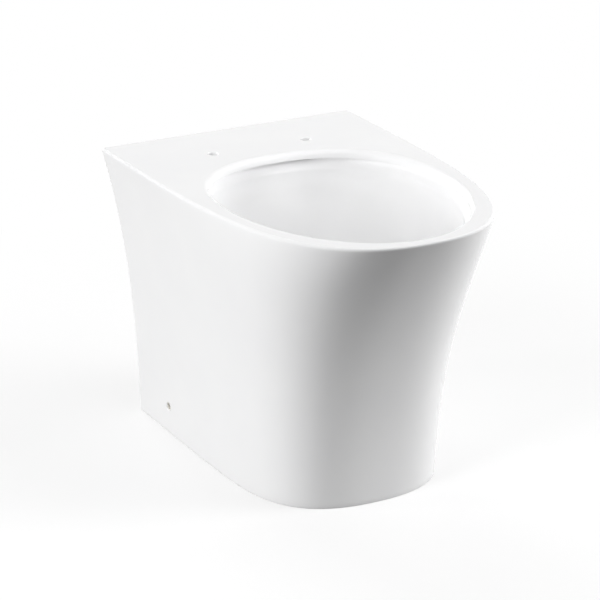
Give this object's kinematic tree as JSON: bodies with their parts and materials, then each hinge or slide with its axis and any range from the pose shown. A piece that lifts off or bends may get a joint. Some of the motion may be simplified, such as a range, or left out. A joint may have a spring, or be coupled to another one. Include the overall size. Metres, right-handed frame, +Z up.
{
  "type": "back to wall toilet",
  "caption": "Back to wall toilet pan in glazed white china: flared skirt to the floor, oval bowl with an open rim, hidden trap and outlet, side screws and floor brackets",
  "frame": {"origin": "On the floor, midway between the tip of the nose and the wall, in the middle plane of the pan", "axes": "X across the pan, square to its plane of symmetry, along the shortest side; Y from the nose (-Y) to the wall (+Y), along the longest side; Z up, the way a seat lifts off its holes"},
  "size_m": [0.388, 0.552, 0.4],
  "materials": {
    "china": "glossy white glaze over vitreous china",
    "seal_rubber": "matt black rubber",
    "zinc_steel": "bright zinc plate on pressed steel",
    "nylon": "natural moulded nylon",
    "stainless": "plain stainless steel"
  },
  "bodies": {
    "root": {"rim": "china", "skirt": "china", "bowl": "china", "trapway": "china", "flush_inlet": "china", "inlet_seal": "seal_rubber", "floor_bracket_left": "zinc_steel", "floor_bracket_right": "zinc_steel", "bracket_nut_left": "nylon", "bracket_nut_right": "nylon", "side_screw_left": "stainless", "side_screw_right": "stainless", "screw_sleeve_left": "nylon", "screw_sleeve_right": "nylon"}
  },
  "joints": []
}
